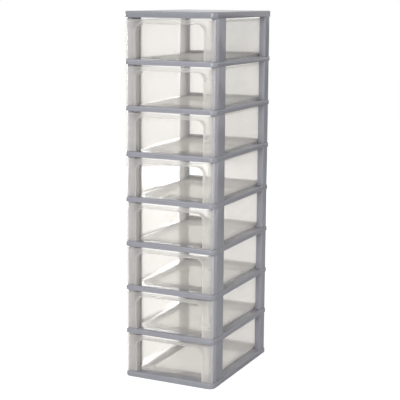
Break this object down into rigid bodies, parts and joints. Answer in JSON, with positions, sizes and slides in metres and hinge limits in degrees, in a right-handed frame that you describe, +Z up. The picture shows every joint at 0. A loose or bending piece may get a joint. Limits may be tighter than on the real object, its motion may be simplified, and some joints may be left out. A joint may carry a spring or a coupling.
{
  "type": "plastic drawer tower",
  "caption": "Tall narrow tower of clear drawers with arched pulls in an open stack of grey plastic shelf frames and short corner posts, closed by a flat top panel.",
  "frame": {"origin": "on the floor under the middle of the tower's bounding box", "axes": "+Z up along the tower's height, -Y towards the front, where the drawers come out, +X to the right as seen from the front, across the plane of symmetry"},
  "size_m": [0.262, 0.356, 0.97],
  "materials": {
    "grey_plastic": "satin, silver-grey",
    "clear_plastic": "translucent, slightly milky polypropylene"
  },
  "bodies": {
    "tower": {"base_frame": "grey_plastic", "shelf_1": "grey_plastic", "shelf_2": "grey_plastic", "shelf_3": "grey_plastic", "shelf_4": "grey_plastic", "shelf_5": "grey_plastic", "shelf_6": "grey_plastic", "shelf_7": "grey_plastic", "top_panel": "grey_plastic", "post_1_front_right": "grey_plastic", "post_1_front_left": "grey_plastic", "post_1_rear_right": "grey_plastic", "post_1_rear_left": "grey_plastic", "post_2_front_right": "grey_plastic", "post_2_front_left": "grey_plastic", "post_2_rear_right": "grey_plastic", "post_2_rear_left": "grey_plastic", "post_3_front_right": "grey_plastic", "post_3_front_left": "grey_plastic", "post_3_rear_right": "grey_plastic", "post_3_rear_left": "grey_plastic", "post_4_front_right": "grey_plastic", "post_4_front_left": "grey_plastic", "post_4_rear_right": "grey_plastic", "post_4_rear_left": "grey_plastic", "post_5_front_right": "grey_plastic", "post_5_front_left": "grey_plastic", "post_5_rear_right": "grey_plastic", "post_5_rear_left": "grey_plastic", "post_6_front_right": "grey_plastic", "post_6_front_left": "grey_plastic", "post_6_rear_right": "grey_plastic", "post_6_rear_left": "grey_plastic", "post_7_front_right": "grey_plastic", "post_7_front_left": "grey_plastic", "post_7_rear_right": "grey_plastic", "post_7_rear_left": "grey_plastic", "post_8_front_right": "grey_plastic", "post_8_front_left": "grey_plastic", "post_8_rear_right": "grey_plastic", "post_8_rear_left": "grey_plastic"},
    "drawer_1": {"drawer_1": "clear_plastic"},
    "drawer_2": {"drawer_2": "clear_plastic"},
    "drawer_3": {"drawer_3": "clear_plastic"},
    "drawer_4": {"drawer_4": "clear_plastic"},
    "drawer_5": {"drawer_5": "clear_plastic"},
    "drawer_6": {"drawer_6": "clear_plastic"},
    "drawer_7": {"drawer_7": "clear_plastic"},
    "drawer_8": {"drawer_8": "clear_plastic"}
  },
  "joints": [
    {"name": "drawer_1_slide", "type": "slide", "parent": "tower", "child": "drawer_1", "axis": [0, -1, 0], "range_m": [0, 0.26]},
    {"name": "drawer_2_slide", "type": "slide", "parent": "tower", "child": "drawer_2", "axis": [0, -1, 0], "range_m": [0, 0.26]},
    {"name": "drawer_3_slide", "type": "slide", "parent": "tower", "child": "drawer_3", "axis": [0, -1, 0], "range_m": [0, 0.26]},
    {"name": "drawer_4_slide", "type": "slide", "parent": "tower", "child": "drawer_4", "axis": [0, -1, 0], "range_m": [0, 0.26]},
    {"name": "drawer_5_slide", "type": "slide", "parent": "tower", "child": "drawer_5", "axis": [0, -1, 0], "range_m": [0, 0.26]},
    {"name": "drawer_6_slide", "type": "slide", "parent": "tower", "child": "drawer_6", "axis": [0, -1, 0], "range_m": [0, 0.26]},
    {"name": "drawer_7_slide", "type": "slide", "parent": "tower", "child": "drawer_7", "axis": [0, -1, 0], "range_m": [0, 0.26]},
    {"name": "drawer_8_slide", "type": "slide", "parent": "tower", "child": "drawer_8", "axis": [0, -1, 0], "range_m": [0, 0.26]}
  ]
}
